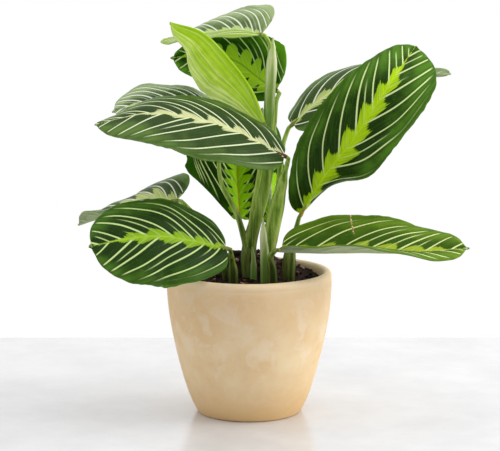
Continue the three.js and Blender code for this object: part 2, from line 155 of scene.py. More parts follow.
# Leaf skins: dark panels, green, band, veins and midrib, then what differs from the usual.
LEAF_SKINS = {
    # Grown leaf, upper side: near-black green panels, bright lime band, pale lime veins.
    "cuticle_lime": ("1d3806 507e1e b6de10 dcf0a6 c6e62a", dict(streaks=0.5, open_at=0.45, tip=(0.6, 0.7))),
    # The same leaf away from the light: greener band, softer veins.
    "cuticle_shade": ("1e380c 4a7220 93bc1e cfe698 a9c83a", dict(streaks=0.45)),
    # The same deep between the stalks: rounded lobes along a midrib flushed with orange.
    "cuticle_deep": ("143200 346610 98ce06 cce094 b8902c", dict(lobed=True, shine=0.03)),
    # The same with the light coming through it from behind.
    "cuticle_lit": ("1c480a 6aa622 caf034 e0f4b0 7cac28", dict(lobed=True, open_at=0.4)),
    # Leaves further back: their own duller green, greyed further by a painted sheen, with a pale band and
    # veins.
    "cuticle_dusk": ("3a5220 769850 ccd884 f6f8e8 e2eaa4", dict(shine=0.12)),
    # Leaf at its freshest: mid green, with a broken lime band and an old scratch.
    "cuticle_fresh": ("3a5c0c 688a1e b8cc3a ecf6ac c8d85c", dict(open_at=0.35, scar=0.47)),
    # Leaf that faces the light: its panels greyed by a painted sheen of the white surroundings, with a cream
    # band and veins.
    "cuticle_cream": ("2c4416 5f7e34 dcdca8 e6f0c4 d0de90", dict(gloss=0.38, shine=0.12, tooth=1.35,
                                                                 tip=(0.6, 0.7))),
    # Leaf seen across its wax, paled to silvery green by a painted sheen of the white surroundings, with a
    # faint band, and lit through where it turns down.
    "cuticle_silver": ("4c6a2c a2b87a ccdf88 f2f8de d4e4a0", dict(gloss=0.36, shine=0.2, open_at=0.15,
                                                                  streaks=0.6, glow="8eb000")),
    # The same painted sheen, on a leaf still dark near its base.
    "cuticle_frost": ("345218 a8c084 c4d684 fafcec d8e6a8", dict(gloss=0.36, shine=0.2, streaks=0.4,
                                                                 open_at=0.6, tip=(0.4, 0.9))),
    # Underside: pale, matt and silvery, its veins only a little greener.
    "underside": ("93a578 a3b183 a9b98a bccaa0 b0bf8d", dict(streaks=0.35, gloss=0.55, shine=0.3,
                                                             line=0.8, hairs=0.15)),
    # Underside of the leaf that shades the others, with the light coming through it.
    "underside_lit": ("7fae2e 96c242 a4cc4c bcd870 b0d058", dict(streaks=0.35, gloss=0.55, shine=0.3,
                                                                 line=0.8, hairs=0.15)),
}
# Swollen joints, waxy, tan or flushed with dark red: low and high end, ridges and flush.
JOINT_SKINS = {"leaf_joint_skin": "7d8238 7d8238 a5a95c 6e5a2c",
               "leaf_joint_skin_tan": "b3a048 b3a048 cdc282 8a6a38",
               "leaf_joint_skin_red": "6b4426 6b4426 8f7040 4c2a1c"}

# Each stalk: the node it stands for, the leaf it carries, and its path as
# (x, y, z, half width, half thickness).
STALKS = {
    "stalk_tall": ("stem_tall", "leaf_top", [
        (0.5, 6, 84, 5, 4.5), (-0.5, 6, 112, 5.5, 4), (1.5, 5, 128, 5, 4), (7, 3, 148, 4.5, 3.5),
        (12, 2, 170, 4.5, 3.5), (14, 2, 195, 4.5, 3), (14.5, 2, 221, 4, 3), (15, 1, 244, 3.5, 2.5),
        (15, 0, 258, 2, 2), (14.5, -2, 268, 1.5, 1.5)]),
    "sheath_low": ("stem_tall", None, [
        (3, 1, 88, 2.6, 2), (3.2, 0.5, 104, 2.6, 2), (3, 0.5, 113, 1.6, 1.4), (2.2, 1, 121, 0.6, 0.6)]),
    "sheath_tall": ("stem_tall", None, [
        (14, 1, 206, 2.5, 1.8), (14.5, -0.5, 222, 3.4, 2), (15, -1, 235, 4, 2), (16, -2, 253, 4, 2),
        (16.5, -2, 264, 2.5, 1.5), (17, -2, 273, 0.6, 0.6)]),
    "petiole_young": ("stem_tall", "leaf_young_folded", [
        (0.5, 4, 120, 2.5, 2.5), (2, 1, 144, 2, 2), (6, -2, 166, 2, 2), (9, -3, 186, 2, 2),
        (11, -3.5, 202, 1.8, 1.8)]),
    "petiole_top_back": ("stem_tall", "leaf_top_back", [
        (13, 4, 175, 2, 2), (16, 8, 191, 2, 2), (18, 9, 211, 2, 2), (19.5, 9, 226, 1.6, 1.6)]),
    "petiole_left_back": ("stem_tall", "leaf_left_back", [
        (0.5, 4, 114, 2.5, 2.5), (-3, 4, 125, 2.5, 2), (-8, 4, 142, 2, 2), (-15, 4, 157, 2, 2),
        (-20, 5, 167, 1.6, 1.6), (-22, 8, 180, 1.6, 1.6), (-20, 11, 191, 1.6, 1.6),
        (-15, 14, 200, 1.5, 1.5)]),
    "petiole_centre": ("stem_tall", "leaf_centre", [
        (0.5, 7, 92, 2.5, 2.5), (-2.5, 9, 120, 2.5, 2), (-5, 8, 132, 1.8, 1.8)]),
    "stalk_middle": ("stem_middle", "leaf_left_upper", [
        (12, -4, 86, 4, 3.5), (13, -5, 111, 4.5, 3), (15.5, -7, 130, 5.5, 3), (19.5, -9, 150, 5.5, 2.5),
        (23, -12, 167, 4, 2.5), (26, -16.5, 180, 1.8, 1.8)]),
    "sheath_middle": ("stem_middle", None, [
        (11.5, -6, 88, 3.5, 2.5), (11.5, -8, 111, 3.6, 2.3), (10.5, -9, 129, 2.8, 1.5),
        (10, -8.5, 144, 0.6, 0.6)]),
    "petiole_right_back": ("stem_middle", "leaf_right_back", [
        (13.5, -4.5, 106, 2.5, 2.2), (15.5, -2.5, 124, 3, 2.5), (18.5, -2, 145, 2.5, 2),
        (21.5, -1, 170, 2, 2), (23, 0, 187, 2, 2), (25, 1, 198, 1.6, 1.6)]),
    "petiole_centre_back": ("stem_middle", "leaf_centre_back", [
        (12, -3, 90, 2.5, 2.5), (13, 5, 114, 2.5, 2), (14.5, 15, 127, 2, 2)]),
    "stalk_right": ("stem_right", "leaf_right_upper", [
        (28.5, 0, 85, 5, 3.5), (29, 0, 110, 4.8, 3.2), (31, 3, 124, 3, 2.5), (34, 3, 134, 1.8, 1.8)]),
    "stalk_right_front": ("stem_right_front", "leaf_right_low", [
        (17, -18, 88, 4, 3), (16.5, -18, 107, 3.4, 2.6), (15, -20, 117, 2.2, 2)]),
    "stalk_left_front": ("stem_left_front", "leaf_left_low", [
        (-11.5, -15, 88, 3.5, 3.5), (-11.5, -15, 105, 3.5, 3), (-12.5, -17, 115, 2.2, 2)]),
    "stalk_left_back": ("stem_left_back", "leaf_left_behind", [
        (-15, 4, 82, 3, 3), (-19, 2, 110, 2.5, 2), (-28.5, 2, 129, 2, 2), (-40, 1, 145, 1.6, 1.6)]),
}
STALK_SIDES = 28
ROWS_A_SPAN = 10
RIB_SPACING = 0.75  # fine ribs on the skin of a stalk

# Fine pale roots lying on the soil, as points in x and y.
ROOTS = [
    [(-22, -30), (-17, -33), (-12, -31), (-8, -34)],
    [(-6, -20), (-2, -26), (3, -27), (7, -31), (12, -30)],
    [(34, -12), (38, -16), (43, -15), (45, -10)],
    [(26, -28), (31, -24), (35, -26)],
    [(-32, 12), (-28, 18), (-30, 25), (-25, 30)],
    [(6, 36), (12, 33), (19, 36), (25, 33)],
]

# Stage, in metres. Lamps: place, diameter, power and colour.
LAMPS = {
    "key_lamp": ((1.2, -0.05, 0.65), 1.1, 13.3, (1, 0.99, 0.97)),
    "top_lamp": ((0.1, -0.1, 1.5), 1.6, 7, (1, 1, 1)),
    "back_lamp": ((-1.15, 0.45, 0.6), 1.0, 3.5, (1, 1, 1)),
    "far_lamp": ((0, 1.5, 0.45), 1.6, 3, (1, 1, 1)),
}
LAMPS_AIM = (0, 0, 0.15)
SKY_LIGHT, SKY_SEEN = 0.65, 1.0  # strength of the white world as light, and as the camera sees it
CAMERA_AT = (0.00058, -1.5, 0.3764)
CAMERA_DOWN, CAMERA_LENS = 9.07, 151.0  # degrees below level, and focal length in mm


def colour(code):
    """An sRGB hex value as linear red, green, blue and alpha."""
    parts = [int(code[i:i + 2], 16) / 255 for i in (0, 2, 4)]
    return [c / 12.92 if c <= 0.04045 else ((c + 0.055) / 1.055) ** 2.4 for c in parts] + [1.0]


# ---------------------------------------------------------------- settings


class PlantSizes(bpy.types.PropertyGroup):
    """Sizes that can be changed before the steps are run"""
    blade: bpy.props.FloatProperty(
        name="Blade thickness", description="Thickness of a leaf blade", default=0.0007, unit="LENGTH")
    quilting: bpy.props.FloatProperty(
        name="Quilting", description="How deep the side veins lie in the upper face of a leaf",
        default=0.0004, unit="LENGTH")
    keel: bpy.props.FloatProperty(
        name="Midrib", description="How far the midrib stands out under a leaf at its base",
        default=0.0011, unit="LENGTH")
    crumbs: bpy.props.IntProperty(
        name="Crumbs", description="Number of loose crumbs on the soil", default=420, min=0)
    root: bpy.props.FloatProperty(
        name="Root", description="Radius of the fine roots on the soil", default=0.0004, unit="LENGTH")


def colour_property(name, description, code):
    """A colour setting that starts from an sRGB hex value."""
    return bpy.props.FloatVectorProperty(
        name=name, description=description, subtype="COLOR", size=4, min=0, max=1, default=colour(code))


class PlantColours(bpy.types.PropertyGroup):
    """Colours that can be changed before the steps are run"""
    clay: colour_property("Clay", "Fired clay of the pot", "f3daaf")
    soil: colour_property("Soil", "Damp potting soil", "160b06")
    stalk: colour_property("Stalk", "Skin of the stalks", "7f9a4c")


# ---------------------------------------------------------------- nodes


# Kinds of node: Blender's name for it, its settings, the inputs that values go to in turn, and the
# output that is used. Any other kind is the name of a Math operation.
KINDS = {
    "PLACE": ("ShaderNodeTexCoord", {}, (), "Object"),
    "MARK": ("ShaderNodeAttribute", {}, (), "Fac"),
    "HEIGHT": ("ShaderNodeSeparateXYZ", {}, (0,), "Z"),
    "JOIN": ("ShaderNodeCombineXYZ", {}, (0, 1), 0),
    "STRETCH": ("ShaderNodeMapping", {}, ("Vector", "Scale"), 0),
    "NOISE": ("ShaderNodeTexNoise", {}, ("Vector", "Scale", "Detail", "Roughness", "Distortion"), 0),
    "CHANCE": ("ShaderNodeTexWhiteNoise", {"noise_dimensions": "1D"}, ("W",), 0),
    "RANGE": ("ShaderNodeMapRange", {}, range(5), 0),
    "EASE": ("ShaderNodeMapRange", {"interpolation_type": "SMOOTHSTEP"}, range(5), 0),
    "MIX": ("ShaderNodeMix", {"data_type": "RGBA"}, (0, 6, 7), 2),
    "RAMP": ("ShaderNodeValToRGB", {}, (0,), 0),
    "BUMP": ("ShaderNodeBump", {}, ("Height", "Strength", "Distance"), 0),
    "SEEN": ("ShaderNodeLightPath", {}, (), "Is Camera Ray"),
}
PER_METRE = 1000.0  # noise scale for features one millimetre apart


def plug(tree, node, values):
    """Links or sets inputs of a node. Text is the hex value of a colour."""
    for socket, value in values.items():
        if isinstance(value, bpy.types.NodeSocket):
            tree.links.new(value, node.inputs[socket])
        else:
            node.inputs[socket].default_value = colour(value) if isinstance(value, str) else value


def add_node(tree, kind, *values, stops=None, **settings):
    """Adds a node with its settings, values and links, and gives the output that is used."""
    name, preset, sockets, out = KINDS.get(kind, ("ShaderNodeMath", {"operation": kind}, range(3), 0))
    made = tree.nodes.new(name)
    for key, value in {**preset, **settings}.items():
        setattr(made, key, value)
    plug(tree, made, dict(zip(sockets, values)))
    if stops:
        ramp = made.color_ramp.elements
        while len(ramp) < len(stops):
            ramp.new(0.5)
        for element, (place, shade) in zip(ramp, stops):
            element.position = place
            element.color = colour(shade) if isinstance(shade, str) else [shade, shade, shade, 1]
    return made.outputs[out]


def material(name):
    """A new material, the function that adds its nodes, and the one that plugs into its surface."""
    made = bpy.data.materials.new(name)
    made.use_nodes = True
    tree = made.node_tree
    return made, partial(add_node, tree), partial(plug, tree, tree.nodes["Principled BSDF"])


# ---------------------------------------------------------------- shaping


def alone(made=None):
    """Leaves only the given object selected."""
    bpy.ops.object.select_all(action="DESELECT")
    if made:
        made.select_set(True)
        bpy.context.view_layer.objects.active = made
    return made


def grid(name, across, along):
    """A grid primitive of two by two metres, and each vertex's place in it as whole numbers."""
    alone()
    bpy.ops.mesh.primitive_grid_add(x_subdivisions=across, y_subdivisions=along, size=2)
    made = bpy.context.object
    made.name = made.data.name = name
    flat = np.zeros(len(made.data.vertices) * 3)
    made.data.vertices.foreach_get("co", flat)
    flat = flat.reshape(-1, 3)
    column = np.rint((flat[:, 0] + 1) / 2 * across).astype(int)
    row = np.rint((flat[:, 1] + 1) / 2 * along).astype(int)
    return made, row, column


def put(made, places):
    """Moves each vertex to its place, given in mm."""
    made.data.vertices.foreach_set("co", (np.asarray(places) * MM).ravel())
    made.data.update()


def numbers(made, name, values):
    """A number at each vertex that the material reads."""
    added = made.data.attributes.new(name, "FLOAT", "POINT")
    added.data.foreach_set("value", np.asarray(values, float).ravel())


def apply(made, kind, **settings):
    """Adds a modifier and applies it."""
    alone(made)
    added = made.modifiers.new(kind.title(), kind)
    for key, value in settings.items():
        setattr(added, key, value)
    bpy.ops.object.modifier_apply(modifier=added.name)


def in_edit(made, steps):
    """Runs the steps in edit mode with all selected."""
    alone(made)
    bpy.ops.object.mode_set(mode="EDIT")
    bpy.ops.mesh.select_all(action="SELECT")
    steps()
    bpy.ops.object.mode_set(mode="OBJECT")


def finish(made, slot, *nodes, angle=40):
    """Smooths a piece and ties it to the frame."""
    alone(made)
    bpy.ops.object.shade_smooth_by_angle(angle=math.radians(angle))
    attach(made, BODY)
    if nodes:
        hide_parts(*nodes)
    return made


def close_tube():
    """Merges the seam of a tube and closes both of its ends."""
    bpy.ops.mesh.remove_doubles(threshold=0.00001)
    bpy.ops.mesh.fill_holes(sides=0)
    bpy.ops.mesh.select_all(action="SELECT")
    bpy.ops.mesh.normals_make_consistent(inside=False)


def tube(name, rings):
    """Rings of points (the last one repeats the first) rolled up into a closed tube."""
    rings = np.asarray(rings, float)
    made, row, column = grid(name, rings.shape[1] - 1, rings.shape[0] - 1)
    put(made, rings[row, column])
    return made, row, column


def smooth(w):
    """Eases from 0 to 1."""
    w = np.clip(w, 0, 1)
    return w * w * (3 - 2 * w)


def through(points, t):
    """Point at t of the smooth curve through points, as in the solids."""
    points = np.asarray(points, float)
    last = len(points) - 1
    at = min(max(t, 0.0), 1.0) * last
    k = min(int(at), last - 1)
    w = at - k
    before = points[k - 1] if k > 0 else 2 * points[0] - points[1]
    after = points[k + 2] if k + 2 <= last else 2 * points[last] - points[last - 1]
    a, b = points[k], points[k + 1]
    s, e = (b - before) / 2, (after - a) / 2
    return a + s * w + (3 * (b - a) - 2 * s - e) * w ** 2 + (2 * (a - b) + s + e) * w ** 3


def heading(points, t, step=1e-4):
    """Direction of the curve at t."""
    ahead = through(points, t + step) - through(points, t - step)
    return ahead / np.linalg.norm(ahead)


def unit(v):
    """Vectors brought to length one."""
    return v / np.maximum(np.linalg.norm(v, axis=-1, keepdims=True), 1e-9)


def rough(x, y, z, size, seed=0.0):
    """Smooth noise from -1 to 1 with lumps about size mm wide."""
    return noise.noise(Vector((x / size + seed, y / size - seed, z / size + 2 * seed)))


def soil_height(x, y):
    """Height of the soil in mm, with its lumps, as in the solids."""
    far = ((x / SOIL_SPREAD[0]) ** 2 + ((y - SOIL_BACK) / SOIL_SPREAD[1]) ** 2) / 2
    lumps = 0.8 * math.sin(0.42 * x + 1.3) * math.sin(0.47 * y + 0.4) + 0.5 * math.sin(0.8 * x - 0.6 * y)
    return SOIL_EDGE + SOIL_MOUND * math.exp(-far) + lumps


# ---------------------------------------------------------------- materials


def fired_clay():
    """Unglazed fired clay: matt, warm beige with soft blotches, ragged pale lime bloom mostly on the
    upper half, and a browner foot."""
    made, add, surface = material("fired_clay")
    place = add("PLACE")
    height = add("HEIGHT", place)
    blotch = add("NOISE", place, PER_METRE / 28, 4.0, 0.6)
    grain = add("NOISE", place, PER_METRE / 1.2, 3.0, 0.7)
    bloom = add("NOISE", place, PER_METRE / 17, 6.0, 0.65, 0.6)
    bloom = add("MULTIPLY", add("RANGE", bloom, 0.5, 0.6),
                add("RANGE", height, 0.03, 0.075, 0.25, 0.7))
    # Upper half darker: partly the clay's own darker mottling, partly painted shade of the leaves over it.
    mottle_and_leaf_shade = add("RANGE", height, 0.05, 0.088, 0.0, 0.5)
    foot = add("MULTIPLY", add("EASE", height, 0.0, 0.034, 1.0, 0.0), 0.8)
    rim = add("EASE", height, 0.094, 0.103, 0.0, 0.55)
    speck = add("RANGE", grain, 0.62, 0.78, 0.0, 0.22)
    skin = list(bpy.context.scene.plant_colours.clay)
    for share, shade in ((add("RANGE", blotch, 0.36, 0.66), "ebca98"), (bloom, "f6e4c8"),
                         (mottle_and_leaf_shade, "d4b080"), (foot, "deb67a"), (rim, "efd9b6"), (speck, "c29c66")):
        skin = add("MIX", share, skin, shade)
    surface({"Base Color": skin, "Roughness": add("RANGE", blotch, 0.3, 0.7, 0.5, 0.66),
             "Normal": add("BUMP", grain, 0.25, 0.0003)})
    return made


def potting_soil():
    """Damp peat and bark: nearly black, rough, with brown and a few pale specks."""
    made, add, surface = material("potting_soil")
    place = add("PLACE")
    lump = add("NOISE", place, PER_METRE / 5, 5.0)
    fine = add("NOISE", place, PER_METRE / 0.9, 4.0)
    skin = list(bpy.context.scene.plant_colours.soil)
    for share, shade in ((add("RANGE", lump, 0.4, 0.65), "341a10"),
                         (add("RANGE", fine, 0.66, 0.74), "7c543e")):
        skin = add("MIX", share, skin, shade)
    surface({"Base Color": skin, "Roughness": 0.85, "Specular IOR Level": 0.2,
             "Normal": add("BUMP", fine, 0.9, 0.001)})
    return made


def soil_crumb():
    """Loose bark and peat crumbs: dark brown, each its own shade, some with a dry pinkish face."""
    made, add, surface = material("soil_crumb")
    base = add("RAMP", add("MARK", attribute_name="shade"), stops=[
        (0.0, "100804"), (0.45, "20100a"), (0.8, "40221a"), (0.94, "74483a"), (1.0, "b89b8b")])
    fine = add("NOISE", add("PLACE"), PER_METRE / 0.7, 3.0)
    skin = add("MIX", add("RANGE", fine, 0.5, 0.75, 0.0, 0.6), base, "241a14")
    surface({"Base Color": skin, "Roughness": 0.8, "Specular IOR Level": 0.2,
             "Normal": add("BUMP", fine, 0.7, 0.0006)})
    return made


def root_skin():
    """Fine dry roots: cream, slightly waxy."""
    made, add, surface = material("root_skin")
    fine = add("NOISE", add("PLACE"), PER_METRE / 1.5)
    skin = add("RAMP", fine, stops=[(0.35, "8f7358"), (0.65, "d8c3a4")])
    surface({"Base Color": skin, "Roughness": 0.6})
    return made


def stalk_skin(name, low, high, edge, blush, flushed=0.55):
    """Petiole skin: satin green, finely ribbed lengthwise, with translucent pale edges and a red-brown
    flush that is strongest near the soil."""
    made, add, surface = material(name)
    side, rise, wing = (add("MARK", attribute_name=key) for key in ("side", "rise", "wing"))
    place = add("PLACE")
    tall = add("STRETCH", place, (1, 1, 0.12))
    cloud = add("NOISE", tall, PER_METRE / 3.5, 3.0)
    patches = add("NOISE", tall, PER_METRE / 2.2, 2.0)
    ribs = add("SINE", add("MULTIPLY", side, 2 * math.pi / RIB_SPACING))
    streak = add("ADD", add("MULTIPLY", ribs, 0.13), cloud)
    bright = add("RANGE", rise, 0.0, 0.8, 0.2, 1.0)
    pale = add("MULTIPLY", add("RANGE", streak, 0.46, 0.68, 0.0, 0.8), bright)
    near_soil = add("RANGE", add("HEIGHT", place), 0.105, 0.135, flushed * 1.5, flushed * 0.35)
    flush = add("MULTIPLY", add("RANGE", patches, 0.5, 0.34, 0.0, 1.0), near_soil, use_clamp=True)
    skin = low
    for share, shade in ((add("RANGE", rise, 0.0, 1.0), high),
                         (add("RANGE", streak, 0.3, 0.47, 0.6, 0.0), low), (pale, edge),
                         (flush, blush), (add("MULTIPLY", wing, bright), edge)):
        skin = add("MIX", share, skin, shade)
    surface({"Base Color": skin, "Roughness": 0.42, "Specular IOR Level": 0.14,
             "Normal": add("BUMP", streak, 0.35, 0.0003)})
    return made


def leaf_face(name, panel, green, band, vein, rib, gloss=0.42, shine=0.08, streaks=0.3, line=1.0,
              open_at=0.5, tooth=1.0, hairs=0.0, lobed=False, tip=(0.72, 0.3), scar=0.0, glow=None):
    """Leaf skin: satin cuticle whose colours follow the blade's own course of veins.

    course counts the side veins, pitch is their spacing in mm, share runs from midrib to edge,
    band from the midrib to the points of the feathered band, rib is the distance in mm from the
    midrib, run goes from the base of the blade to its tip, and lobe counts the lobes of the band.

    gloss is its roughness and shine its specular level. line widens the side veins, streaks lightens
    the fine stripes, open_at is where the panels turn green on the way out, tip where they do on the
    way to the tip and how much, tooth how deeply the band is cut, and lobed rounds its teeth. hairs
    gives fine down, scar is where a dry scratch lies, and glow colours the half lit from behind.
    """
    made, add, surface = material(name)
    course, pitch, share, reach, midrib, run, lobe = (
        add("MARK", attribute_name=key)
        for key in ("course", "pitch", "share", "band", "rib", "run", "lobe"))
    place = add("PLACE")
    cloud = add("NOISE", place, PER_METRE / 13, 4.0)
    fleck = add("NOISE", place, PER_METRE / 1.3, 2.0)

    # Distance from the nearest side vein, and from the nearest short vein half way between two.
    phase = add("FRACT", course)
    main_at = add("FLOOR", add("ADD", course, 0.5))
    from_main = add("MULTIPLY", add("ABSOLUTE", add("SUBTRACT", course, main_at)), pitch)
    luck = add("CHANCE", main_at)
    short_at = add("ADD", add("FLOOR", course), 0.5)
    fortune = add("CHANCE", add("ADD", short_at, 0.37))
    skew = add("RANGE", fortune, 0.0, 1.0, 0.62, 1.05)
    middle = add("POWER", 0.5, add("DIVIDE", 1.0, skew))
    from_short = add("MULTIPLY", add("ABSOLUTE", add("SUBTRACT", phase, middle)), pitch)

    # Side veins: a good millimetre wide at the midrib, thinner outwards, ending just before the edge.
    wide = add("MULTIPLY", add("RANGE", share, 0.0, 0.95, 0.74 * line, 0.5 * line),
               add("RANGE", luck, 0.0, 1.0, 0.78, 1.08))
    stripe = add("EASE", from_main, add("MULTIPLY", wide, 0.55), add("MULTIPLY", wide, 1.3),
                 1.0, 0.0)
    end = add("RANGE", luck, 0.0, 1.0, 0.88, 0.97)
    fade = add("EASE", share, add("SUBTRACT", end, 0.2), end, 1.0, 0.0)
    stripe = add("MULTIPLY", stripe, fade)
    shadow = add("RANGE", from_main, 0.6, 2.8, 0.5, 0.0)
    # Short veins: hair-thin, from the point of a tooth to half way out, and not in every panel.
    thin = add("EASE", from_short, 0.2 * line, 0.62 * line, 1.0, 0.0)
    end = add("RANGE", fortune, 0.3, 1.0, 0.1, 0.78)
    fade = add("EASE", share, add("SUBTRACT", end, 0.25), end, 0.8, 0.0)
    room = add("RANGE", pitch, 5.0, 8.0)
    thin = add("MULTIPLY", add("MULTIPLY", thin, fade), room)
    lines = add("MAXIMUM", stripe, thin)

    # Panels: darkest beside the veins and the band, greener and faintly striped towards the edge and
    # the tip, with pale flecks.
    drift = add("MULTIPLY", add("SUBTRACT", cloud, 0.5), 0.8)
    outward = add("ADD", add("RANGE", run, tip[0], 1.0, 0.0, tip[1]), share)
    outward = add("ADD", outward, drift)
    open_green = add("EASE", outward, open_at, open_at + 0.6)
    along_veins = add("JOIN", add("MULTIPLY", course, 9.0), add("MULTIPLY", midrib, 0.09))
    fine = add("NOISE", along_veins, 1.0, 2.0)
    light = add("MULTIPLY", add("RANGE", fine, 0.46, 0.72, 0.0, streaks),
                add("RANGE", share, 0.15, 0.9, 0.3, 1.0))
    speck = add("RANGE", fleck, 0.65, 0.74, 0.0, 0.07)
    face = panel
    for cover, shade in ((open_green, green), (light, green), (shadow, panel), (speck, vein)):
        face = add("MIX", cover, face, shade)
    left_half = add("FRACT", add("MULTIPLY", course, 1 / LEAF_STEP))
    left_half = add("COMPARE", left_half, HALF_STEP / LEAF_STEP + 0.1, 0.2)
    if glow:  # daylight comes through the half that turns down
        face = add("MIX", add("MULTIPLY", left_half, 0.9), face, glow)

    # Feathered band: one tooth in each panel, pointed outwards, cut back raggedly towards the tip, or
    # rounded lobes that stand out from the midrib.
    if lobed:
        toothed = add("FRACT", lobe)
        rise = (0.0, 0.36), (0.07, 0.45), (0.18, 0.82), (0.34, 0.97), (0.5, 1.0)
        fall = (0.66, 0.97), (0.82, 0.82), (0.93, 0.45), (1.0, 0.36)
    else:
        toothed = add("POWER", phase, skew)
        rise = (0.0, 0.3), (0.12, 0.38), (0.26, 0.74), (0.4, 0.86), (0.46, 0.88), (0.5, 1.0)
        fall = (0.54, 0.78), (0.68, 0.6), (0.86, 0.38), (1.0, 0.3)
    teeth = add("RAMP", toothed, stops=rise + fall)
    teeth = add("RANGE", teeth, 0.0, 1.0, 1.0 - tooth, 1.0)
    grow = add("RANGE", fortune, 0.0, 1.0, 0.85, 1.12)
    ragged = add("MULTIPLY", add("SUBTRACT", fine, 0.5),
                 add("DIVIDE", add("MULTIPLY", reach, 4.0), midrib))
    rimmed = add("SUBTRACT", reach, add("MULTIPLY", teeth, grow))
    inside = add("RANGE", add("SUBTRACT", rimmed, ragged), -0.06, 0.06, 1.0, 0.0)
    dusk = add("ADD", add("RANGE", reach, 0.25, 1.0, 0.0, 0.35),
               add("RANGE", fine, 0.35, 0.6, 0.32, 0.0))
    band_tone = add("MIX", dusk, band, green)
    on_band = add("RANGE", inside, 0.0, 1.0, 0.95, 0.12 if lobed else 0.3)
    core = add("MULTIPLY", add("RANGE", midrib, 0.3, 0.9, 0.7, 0.0),
               add("RANGE", run, 0.86, 0.97, 1.0, 0.0))
    brim = add("RANGE", share, 0.965, 1.0, 0.0, 0.6)
    for cover, shade in ((inside, band_tone), (add("MULTIPLY", lines, on_band), vein), (core, rib),
                         (brim, green)):
        face = add("MIX", cover, face, shade)

    if scar:  # an old scratch in from the edge of the left half, dried cream and brown
        slant = add("MULTIPLY_ADD", share, 0.055, run)
        beside = add("ABSOLUTE", add("SUBTRACT", slant, scar))
        scratch = add("MULTIPLY", add("RANGE", beside, 0.002, 0.006, 1.0, 0.0),
                      add("RANGE", share, 0.4, 0.45))
        scratch = add("MULTIPLY", scratch, left_half)
        dry = add("RAMP", fleck, stops=[(0.42, "8a5a2a"), (0.55, "e4d8a4")])
        face = add("MIX", scratch, face, dry)

    relief = add("SUBTRACT", add("MULTIPLY", fine, 0.6), lines)
    relief = add("ADD", relief, fleck)
    surface({"Base Color": face, "Specular IOR Level": shine,
             "Roughness": add("RANGE", fleck, 0.3, 0.7, gloss - 0.05, gloss + 0.08),
             "Normal": add("BUMP", relief, 0.35, 0.0002)})
    if hairs:
        surface({"Sheen Weight": hairs, "Sheen Roughness": 0.4})
    return made


def young_face():
    """Young leaf: thin, soft yellow-green skin with cloudy streaks along it and veins of uneven strength."""
    made, add, surface = material("young_leaf_cuticle")
    course, pitch, share, midrib, run = (
        add("MARK", attribute_name=key) for key in ("course", "pitch", "share", "rib", "run"))
    cloud = add("NOISE", add("PLACE"), PER_METRE / 10, 3.0)
    lengthwise = add("JOIN", add("MULTIPLY", course, 1.5), add("MULTIPLY", run, 1.8))
    streak = add("NOISE", lengthwise, 1.0, 4.0, 0.6)
    face = add("RAMP", add("MIX", 0.35, streak, cloud), stops=[
        (0.36, "6f9a10"), (0.45, "98c022"), (0.55, "b0d040"), (0.66, "cfe08c")])
    fold = add("EASE", midrib, 0.0, 15.0, 0.75, 0.0)
    margin = add("RANGE", share, 0.6, 1.0, 0.0, 0.6)
    wander = add("ADD", course, add("RANGE", streak, 0.2, 0.8, -0.6, 0.6))
    vein_at = add("FLOOR", add("ADD", wander, 0.5))
    away = add("MULTIPLY", add("ABSOLUTE", add("SUBTRACT", wander, vein_at)), pitch)
    vein = add("MULTIPLY", add("EASE", away, 0.15, 0.8, 0.8, 0.0),
               add("RANGE", add("CHANCE", vein_at), 0.2, 1.0, 0.0, 0.8))
    for cover, shade in ((fold, "a0cc14"), (margin, "bfcf86"), (vein, "dcea9c")):
        face = add("MIX", cover, face, shade)
    surface({"Base Color": face, "Specular IOR Level": 0.12,
             "Roughness": add("RANGE", cloud, 0.3, 0.7, 0.4, 0.52),
             "Normal": add("BUMP", streak, 0.3, 0.0004)})
    return made


def table_top():
    """Pale honed stone: cool grey, faintly clouded, with a soft sheen that mirrors the pot."""
    made, add, surface = material("studio_table_top")
    cloud = add("NOISE", add("PLACE"), 14.0, 5.0, 0.6)
    stone = add("RAMP", cloud, stops=[(0.35, "cfcfd2"), (0.65, "dcdcde")])
    surface({"Base Color": stone, "Roughness": add("RANGE", cloud, 0.3, 0.7, 0.16, 0.26)})
    return made


# ---------------------------------------------------------------- pieces


def lathe(name, profile, sides):
    """A circle drawn up through the [radius, height] profile, closed at both ends."""
    alone()
    bpy.ops.mesh.primitive_circle_add(vertices=sides, radius=profile[0][0] * MM, fill_type="TRIFAN",
                                      location=(0, 0, profile[0][1] * MM))
    made = bpy.context.object
    made.name = made.data.name = name
    bpy.ops.object.transform_apply(location=True)
    bpy.ops.object.mode_set(mode="EDIT")
    bpy.ops.mesh.select_mode(type="EDGE")
    bpy.ops.mesh.select_all(action="DESELECT")
    bpy.ops.mesh.select_non_manifold()
    for (r, z), (r2, z2) in zip(profile, profile[1:]):
        bpy.ops.mesh.extrude_edges_move(TRANSFORM_OT_translate={"value": (0, 0, (z2 - z) * MM)})
        bpy.ops.transform.resize(value=(r2 / r, r2 / r, 1), center_override=(0, 0, z2 * MM))
    bpy.ops.mesh.fill_holes(sides=0)
    bpy.ops.mesh.select_mode(type="FACE")
    bpy.ops.mesh.select_all(action="DESELECT")
    bpy.ops.mesh.select_face_by_sides(number=4, type="GREATER")
    bpy.ops.mesh.poke()
    bpy.ops.mesh.select_all(action="SELECT")
    bpy.ops.mesh.normals_make_consistent(inside=False)
    bpy.ops.object.mode_set(mode="OBJECT")
    return made


